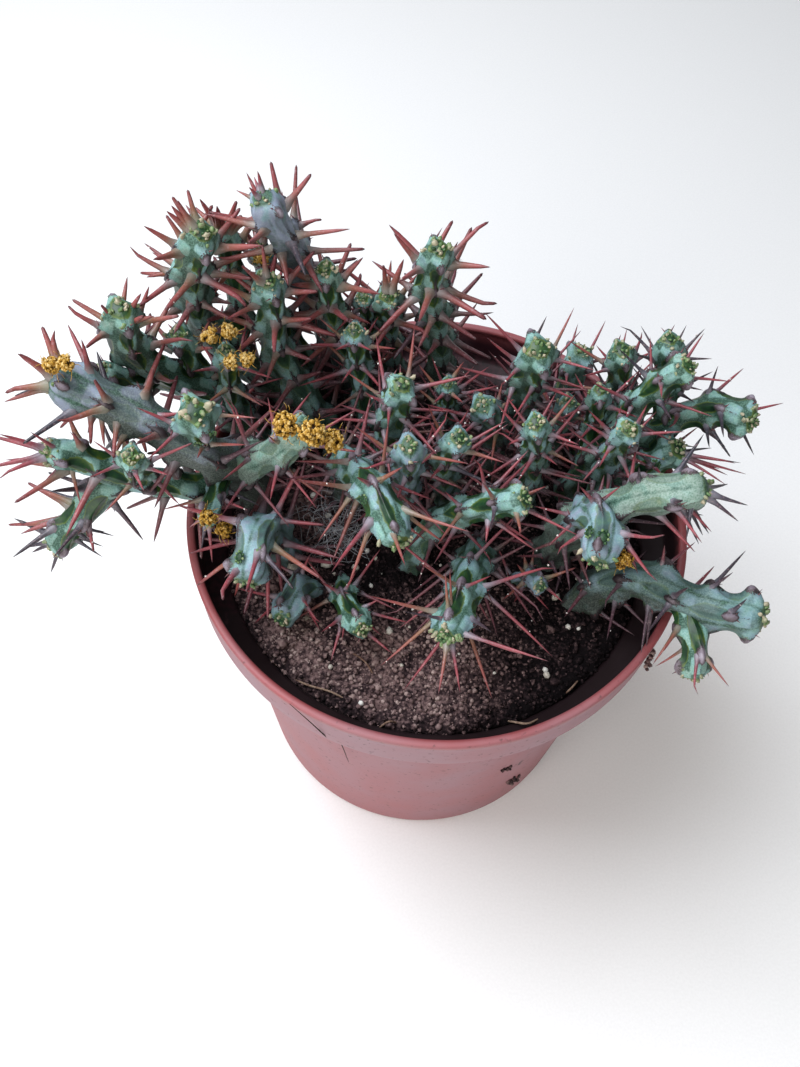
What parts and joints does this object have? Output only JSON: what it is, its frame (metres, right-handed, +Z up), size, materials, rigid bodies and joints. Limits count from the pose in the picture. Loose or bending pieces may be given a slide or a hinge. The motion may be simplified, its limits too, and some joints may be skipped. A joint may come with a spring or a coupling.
{
  "type": "potted euphorbia",
  "caption": "Potted spiny euphorbia: a clump of four-ribbed stems with long paired spines and small yellow flower heads, standing in soil in a round nursery pot.",
  "frame": {"origin": "centre of the pot's flat base, on the surface it stands on", "axes": "+Z up out of the pot, -Y towards the front of the plant, +X to its right"},
  "size_m": [0.1516, 0.108, 0.1575],
  "materials": {
    "pot": "moulded terracotta-coloured polypropylene, satin, dusty",
    "soil": "crumbly potting soil, dry and matte",
    "stem": "blue-green waxy skin with grey spine shields and rose-brown spines",
    "flower": "dry mustard-yellow flower cups"
  },
  "bodies": {
    "root": {"bloom_centre": "flower", "bloom_centre_side": "flower", "bloom_left_low": "flower", "bloom_left_low_side": "flower", "bloom_left_tip": "flower", "bloom_rear_left": "flower", "bloom_rear_left_side": "flower", "bloom_rear_slender": "flower", "bloom_right": "flower", "pot": "pot", "soil": "soil", "stem_centre_nodding": "stem", "stem_centre_scarred": "stem", "stem_centre_slim": "stem", "stem_centre_small": "stem", "stem_centre_upright": "stem", "stem_front_creeping": "stem", "stem_front_seedling": "stem", "stem_front_star": "stem", "stem_left_front": "stem", "stem_left_long": "stem", "stem_left_rear_forked": "stem", "stem_low_rosette": "stem", "stem_low_stub": "stem", "stem_middle_leaning": "stem", "stem_middle_right": "stem", "stem_rear_arched": "stem", "stem_rear_budding": "stem", "stem_rear_inner": "stem", "stem_rear_left_tall": "stem", "stem_rear_middle": "stem", "stem_rear_right_low": "stem", "stem_rear_slender": "stem", "stem_rear_tallest": "stem", "stem_rear_thick": "stem", "stem_rear_twin": "stem", "stem_right_forked": "stem", "stem_right_inner": "stem", "stem_right_over_rim": "stem", "stem_right_pale": "stem", "stem_right_rising": "stem", "stem_right_short": "stem", "stem_right_slim": "stem"}
  },
  "joints": []
}
